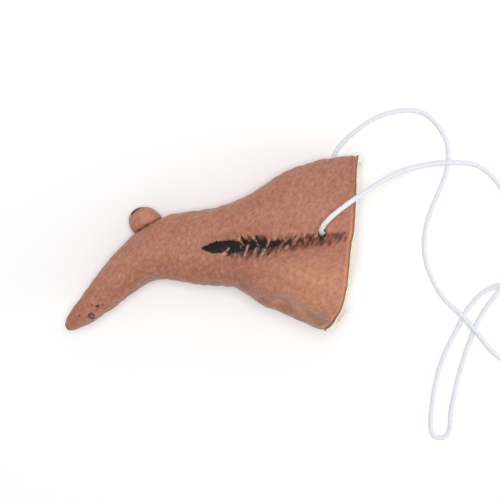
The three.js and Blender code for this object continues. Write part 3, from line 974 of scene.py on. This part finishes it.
def paint(point, facing, seam, of_wart):
    """Shares of each coat of paint at points of the skin, painted light and shade among them,
    'facing' being how far they look aside.
    """
    x, y, z = point.T
    side = smoothstep(np.abs(z), *SIDE_RUN)
    near_side = smoothstep(z, *NEAR_SIDE_RUN)
    black, brown, fold_highlight = crease_paint(point, side)

    # The rim's lip with a painted highlight line, and painted shade at its edge.
    from_rim = inside_rim(point) + trim(point)
    lip = bands(from_rim, LIP_HIGHLIGHT) * side * (LIP_EVEN + grains(point, LIP_GRAIN))
    lip = lip * (1 - LIP_LOSS * smoothstep(y, *LIP_LOSS_RUN))
    edge = EDGE_SHADE * smoothstep(from_rim, *EDGE_SHADE_RUN)

    # The nostril's edge with a painted sheen, painted light in its hollow and a painted shade line
    # below the edge.
    gap, below = off_ridge(point)
    below = below * side
    ridge = bands(gap, RIDGE_SHEEN) * side * smoothstep(x, *RIDGE_RUN)
    hollow_light = bands(gap, HOLLOW_HIGHLIGHT) * below
    hollow_light = hollow_light * smoothstep(x, *HOLLOW_RUN) * smoothstep(x, *HOLLOW_END)
    hollow_shade = bands(gap, HOLLOW_SHADE_LINE) * below * bands(x, HOLLOW_SHADE_REACH)

    # The small marks.
    slit = strokes(point, TIP_SLIT) * near_side
    marks = np.maximum(RING_BROWN * tip_ring(point), DOT_BROWN * dots(point, DOTS)) * near_side
    flecks = np.zeros(len(point))
    for *place, size in FLECKS:
        flecks = np.maximum(flecks, bell(np.linalg.norm(point - place, axis=1), size))
    # Painted shade in the cord's hole and in a ring round it, shifted to one side.
    hole_shade = np.hypot(x - HOLE[0] - HOLE_SHADE_SHIFT, y - HOLE[1] + HOLE_SHADE_SHIFT)
    hole_shade = smoothstep(hole_shade, *HOLE_SHADE_RUN)

    # The wart: its black dab and dark seam, painted shade round its edge and a painted highlight on
    # its lit side.
    off_dab = off_stretch(point, *WART_DAB)[0] + grains(point, DAB_GRAIN)
    dab = smoothstep(off_dab, *DAB_RUN) * of_wart
    join = smoothstep(seam, *JOIN_RUN) * (JOIN_EVEN + grains(point, JOIN_GRAIN))
    limb_shade = smoothstep(np.abs(facing), *LIMB_RUN) * of_wart
    wart_highlight = bell(np.linalg.norm(point - WART_HIGHLIGHT_AT, axis=1), WART_HIGHLIGHT_SPREAD) * of_wart

    # Painted shade along the skin's silhouette as it lies and painted sheen just inside it; painted
    # shade on the undersides, the tip, the rim's top and below the crease; and a painted highlight on
    # the wing's bulge.
    outline = smoothstep(np.abs(facing), *SILHOUETTE_RUN) * (from_rim > SILHOUETTE_FROM_RIM)
    edge_sheen = bands(np.abs(facing), EDGE_SHEEN) * (from_rim > EDGE_SHEEN_FROM_RIM) * ~of_wart
    height = over_edge(point)
    wing = smoothstep(x, *WING_RUN)
    arm = smoothstep(height, *ARM_SHADE_RUN) * (1 - wing)
    under = WING_SHADE * smoothstep(height, *WING_SHADE_RUN) * wing
    tip = smoothstep(x, *TIP_SHADE_RUN)
    strip = bands(from_rim, RIM_SHADE) * smoothstep(y, *RIM_SHADE_RUN) * side
    low = bands(above_crease(point), LOW_SHADE) * bands(x, LOW_SHADE_REACH) * side
    lit_side = bell(np.hypot((x - LIT_AT[0]) / LIT_SIZE[0], (y - LIT_AT[1]) / LIT_SIZE[1]), 1)
    lit_side = lit_side * smoothstep(height, *LIT_RUN)

    return {
        "black": np.maximum.reduce(
            [black, FLECK_BLACK * flecks, SLIT_BLACK * slit, DAB_BLACK * dab, hole_shade]
        ),
        # Brown paint round the crease, on the marks and along the wart's seam, and painted shade at
        # the rim's edge, below the nostril's edge and round the wart's edge.
        "brown": np.maximum.reduce([brown, edge, marks, slit, join, hollow_shade, LIMB_SHADE * limb_shade]),
        "highlight": np.maximum.reduce([lip, hollow_light, WART_HIGHLIGHT_SHARE * wart_highlight]),
        "painted_sheen": np.maximum(ridge, edge_sheen),
        "outline": outline * ~of_wart,
        "fold_highlight": fold_highlight,
        "shade": np.maximum.reduce([arm * smoothstep(x, *ARM_SHADE_START), tip, under, strip, low]),
        "lit_side": np.maximum(lit_side, WART_LIT_SHARE * wart_highlight),
    }


def seam_of(point, centre, of_wart):
    """Distance of points from the line where the wart meets the skin."""
    near = np.flatnonzero(np.linalg.norm(point - centre, axis=1) < WART_DIAMETER)
    trees = []
    for chosen in (of_wart, ~of_wart):
        picked = near[chosen[near]]
        tree = KDTree(len(picked))
        for index, at in enumerate(point[picked]):
            tree.insert(at, index)
        tree.balance()
        trees.append(tree)
    seam = np.full(len(point), float(WART_DIAMETER))
    for index in near:
        seam[index] = trees[int(of_wart[index])].find(point[index])[2]
    return seam


def lying():
    """How points of the nose's own frame are turned on its side and set where the frame has it."""
    turn = Matrix.Rotation(-TIP_DOWN, 3, "Y") @ Matrix.Rotation(-BRIDGE_DOWN, 3, "X")
    angle = round_turn(AROUND)
    places, _ = skin_rows(angle, 0, len(RIBS) - 1, OUTSIDE_ROWS, RIM_ROWS, trimmed=False)
    plain = skin_point(places, angle[None, :], 0).reshape(-1, 3) @ np.array(turn).T
    low, high = (np.array(corner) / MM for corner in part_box("nose_shell"))
    move = (low + high - plain.min(0) - plain.max(0)) / 2
    move[2] = low[2] - plain[:, 2].min()
    return lambda points: (np.asarray(points, float) @ np.array(turn).T + move) * MM


# Cord and knots.


def braid(run, turn):
    """Radius of a round braid along and round it, from two sets of strands that cross."""
    winding = 2 * math.pi * run / (BRAID_PITCH * MM)
    left = np.cos(BRAID_STRANDS * turn + winding)
    right = np.cos(BRAID_STRANDS * turn - winding)
    return (CORD_DIAMETER / 2 + BRAID_RELIEF * (np.maximum(left, right) - 1)) * MM


def cord_line(lay):
    """The middle of the cord, from inside the near hole over its route to inside the far one."""
    across = (HOLE_INSIDE - CORD_IN, HOLE_OUTSIDE, HOLE_OUTSIDE + CORD_OUT)
    near = [lay((*HOLE, z)) for z in across]
    far = [lay((*HOLE, -z)) for z in reversed(across)]
    flat = CORD_DIAMETER / 2
    route = [np.array((x, y, *(height or [flat]))) * MM for x, y, *height in CORD_ROUTE]
    line = catmull_rom([*near, *route, *far], ROUTE_STEPS)
    line[:, 2] = np.maximum(line[:, 2], flat * MM)
    return evenly(line, CORD_STEP * MM)


def knot_piece(name, lay, side):
    """An overhand knot drawn tight, with the cord's cut end."""
    turn = round_turn(KNOT_POINTS)
    trefoil = np.stack([np.sin(turn) + 2 * np.sin(2 * turn), np.cos(turn) - 2 * np.cos(2 * turn),
                        -1.5 * np.sin(3 * turn)], 1) * KNOT_SIZE
    end_way = np.array(KNOT_END) * (1, 1, side)
    end = trefoil[-1] + np.outer(np.linspace(*KNOT_END_RUN, 12), end_way)
    line = evenly(catmull_rom([*trefoil[::4], trefoil[-1], end[4], end[-1]], 10), CORD_STEP)
    line = lay(line * (1, 1, side) + (*HOLE, KNOT_AT * side))
    return tube(name, line, braid, KNOT_SIDES)


# Materials, table and lights.


class Nodes:
    """Short calls that add shader nodes and link them."""

    def __init__(self, name):
        self.material = bpy.data.materials.new(name)
        self.material.use_nodes = True
        self.tree = self.material.node_tree
        self.tree.nodes.clear()
        self.place = self.add("TexCoord").outputs["Object"]

    def add(self, kind, settings=(), **inputs):
        made = self.tree.nodes.new("ShaderNode" + kind)
        for name, value in dict(settings).items():
            setattr(made, name, value)
        for name, value in inputs.items():
            socket = made.inputs[name.replace("_", " ")]
            self.give(socket, value)
        return made

    def give(self, socket, value):
        if isinstance(value, bpy.types.NodeSocket):
            self.tree.links.new(value, socket)
        else:
            socket.default_value = value

    def attribute(self, name):
        return self.add("Attribute", {"attribute_name": name}).outputs["Fac"]

    def coats(self, colour, table):
        for name, amount, tone in table:
            colour = self.blend(self.share(self.attribute(name), amount), colour, tone)
        return colour

    def noise(self, place, scale, detail=2.0, roughness=0.5):
        made = self.add("TexNoise", Vector=place, Scale=scale, Detail=detail, Roughness=roughness)
        return made.outputs["Fac"]

    def cells(self, place, scale):
        made = self.add("TexVoronoi", {"feature": "SMOOTH_F1"}, Vector=place, Scale=scale)
        return made.outputs["Distance"]

    def streaked(self):
        """Coordinates in which noise is drawn out along one slanting direction."""
        made = self.add("Mapping", {"vector_type": "TEXTURE"}, Vector=self.place,
                        Rotation=STREAK_TURN, Scale=STREAK_SCALE)
        return made.outputs["Vector"]

    def share(self, value, amount):
        return self.maths("MULTIPLY", value, amount)

    def line(self, value, slope, start):
        return self.maths("ADD", self.share(value, slope), start)

    def between(self, value, low, high):
        made = self.add("MapRange", {"interpolation_type": "SMOOTHSTEP"})
        for socket, given in zip(made.inputs, (value, low, high, 0.0, 1.0)):
            self.give(socket, given)
        return made.outputs["Result"]

    def blend(self, share, first, second):
        made = self.add("MixRGB")
        for socket, given in zip(made.inputs, (share, first, second)):
            self.give(socket, given)
        return made.outputs["Color"]

    def maths(self, operation, first, second=0.0):
        made = self.add("Math", {"operation": operation})
        self.give(made.inputs[0], first)
        self.give(made.inputs[1], second)
        return made.outputs["Value"]

    def bump(self, height, distance, strength):
        made = self.add("Bump", Height=height, Distance=distance, Strength=strength)
        return made.outputs["Normal"]

    def surface(self, **inputs):
        shader = self.add("BsdfPrincipled", **inputs)
        output = self.add("OutputMaterial")
        self.tree.links.new(shader.outputs["BSDF"], output.inputs["Surface"])
        return self.material


def painted_latex():
    nodes = Nodes("painted_latex")
    drawn = nodes.streaked()
    mottle = nodes.noise(drawn, *MOTTLE)
    lit_side = nodes.attribute("lit_side")
    patches = nodes.between(nodes.noise(nodes.place, *PATCHES), *PATCHES_CUT)
    colour = nodes.coats(nodes.blend(patches, PINK_SKIN, TAN_SKIN), TONES)
    tint = nodes.noise(nodes.place, *TINT)
    for low, high, amount, tone in TINTS:
        colour = nodes.blend(nodes.share(nodes.between(tint, low, high), amount), colour, tone)

    light = nodes.share(nodes.between(mottle, *LIGHT_CUT), nodes.line(lit_side, *LIGHT_AMOUNT))
    deep = nodes.share(nodes.between(mottle, *DEEP_CUT), nodes.line(lit_side, *DEEP_AMOUNT))
    spots = nodes.share(nodes.between(nodes.noise(drawn, *SPOTS), *SPOTS_CUT), lit_side)
    colour = nodes.blend(light, colour, PALE_SKIN)
    colour = nodes.blend(nodes.share(spots, SPOTS_AMOUNT), colour, PALE_SKIN)
    colour = nodes.coats(nodes.blend(deep, colour, DEEP_SKIN), COATS)

    fray = nodes.share(nodes.maths("SUBTRACT", mottle, 0.5), FRAY)
    brown = nodes.between(nodes.maths("ADD", nodes.attribute("brown"), fray), *BROWN_CUT)
    colour = nodes.blend(nodes.share(brown, BROWN_AMOUNT), colour, BROWN_PAINT)
    black = nodes.between(nodes.maths("ADD", nodes.attribute("black"), fray), *BLACK_CUT)
    colour = nodes.blend(black, colour, BLACK_PAINT)
    pebble = nodes.share(nodes.cells(drawn, PEBBLE_SCALE), PEBBLE_HEIGHT)
    normal = nodes.bump(nodes.maths("ADD", pebble, mottle), 0.0004, 0.9)
    return nodes.surface(Base_Color=colour, Roughness=0.46, Normal=normal, Specular_IOR_Level=0.32,
                         Sheen_Weight=0.1, Sheen_Roughness=0.4, Sheen_Tint=SHEEN)


def bare_latex():
    nodes = Nodes("bare_latex")
    stain = nodes.noise(nodes.place, *STAIN)
    colour = nodes.blend(nodes.between(stain, *STAIN_CUT), CREAM, CREAM_SHADE)
    fine = nodes.noise(nodes.place, *FINE_GRAIN)
    normal = nodes.bump(nodes.maths("ADD", stain, fine), 0.0002, 0.4)
    return nodes.surface(Base_Color=colour, Roughness=0.55, Normal=normal)


def elastic():
    nodes = Nodes("white_elastic")
    fibre = nodes.noise(nodes.place, *FIBRE)
    colour = nodes.blend(nodes.between(fibre, *FIBRE_CUT), ELASTIC_WHITE, ELASTIC_BLUE)
    normal = nodes.bump(fibre, 0.00008, 0.5)
    return nodes.surface(Base_Color=colour, Roughness=0.8, Normal=normal, Sheen_Weight=0.2)


def table_top():
    nodes = Nodes("table")
    wide = nodes.noise(nodes.place, TABLE_NOISE_SCALE)
    colour = nodes.blend(wide, TABLE_WHITE, TABLE_SHADE)
    return nodes.surface(Base_Color=colour, Roughness=0.9, Emission_Color=TABLE_WHITE,
                         Emission_Strength=TABLE_EMISSION)


def area_light(name, place, size, power):
    data = bpy.data.lights.new(name, "AREA")
    data.shape = "DISK"
    data.size = size
    data.energy = power
    lamp = linked(name, data)
    lamp.location = place
    lamp.rotation_euler = (CAMERA_TARGET - Vector(place)).to_track_quat("-Z", "Y").to_euler()


def studio():
    corners = [(x * TABLE_REACH, y * TABLE_REACH, 0) for x, y in ((-1, -1), (1, -1), (1, 1), (-1, 1))]
    table = mesh_object("table_top", corners, [(0, 1, 2, 3)])
    table.data.materials.append(table_top())
    world = bpy.data.worlds.new("world")
    world.use_nodes = True
    background = world.node_tree.nodes["Background"]
    background.inputs["Color"].default_value = (1, 1, 1, 1)
    background.inputs["Strength"].default_value = WORLD_STRENGTH
    bpy.context.scene.world = world
    bpy.context.scene.view_settings.view_transform = "Standard"
    for name, light in LIGHTS.items():
        area_light(name, *light)


def covered(piece, *materials):
    for made in materials:
        piece.data.materials.append(made)
    return piece


def finished(piece, stands_for):
    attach(piece, "root")
    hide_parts(stands_for)


make_camera()
lay = lying()

white = elastic()
line = cord_line(lay)
cord = covered(tube("braided_cord", line, braid, CORD_SIDES), white)
near_knot = covered(knot_piece("near_knot", lay, 1), white)
far_knot = covered(knot_piece("far_knot", lay, -1), white)
finished(cord, "elastic_cord")
finished(near_knot, "knot_near")
finished(far_knot, "knot_far")
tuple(lay((*HOLE, HOLE_OUTSIDE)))

painted, bare = painted_latex(), bare_latex()
skin = covered(nose_mesh(), painted, bare)
wart, wart_centre = wart_mesh()
set_attribute(skin.data, "wart", np.zeros(len(skin.data.vertices)))
set_attribute(wart.data, "wart", np.ones(len(wart.data.vertices)))
carve(skin, covered(wart, painted), "UNION")
carve(skin, covered(hole_cutter(), painted), "DIFFERENCE")
local = vertex_values(skin.data, "co")
facing = vertex_values(skin.data, "normal")[:, 2]
of_wart = attribute_values(skin.data, "wart") > 0.5
seam = seam_of(local, wart_centre, of_wart)
for name, values in paint(local, facing, seam, of_wart).items():
    set_attribute(skin.data, name, values)
placed = lay(local)
placed[:, 2] = np.maximum(placed[:, 2], 0)
skin.data.vertices.foreach_set("co", placed.ravel())
skin.data.update()
finished(skin, "nose_shell")

studio()
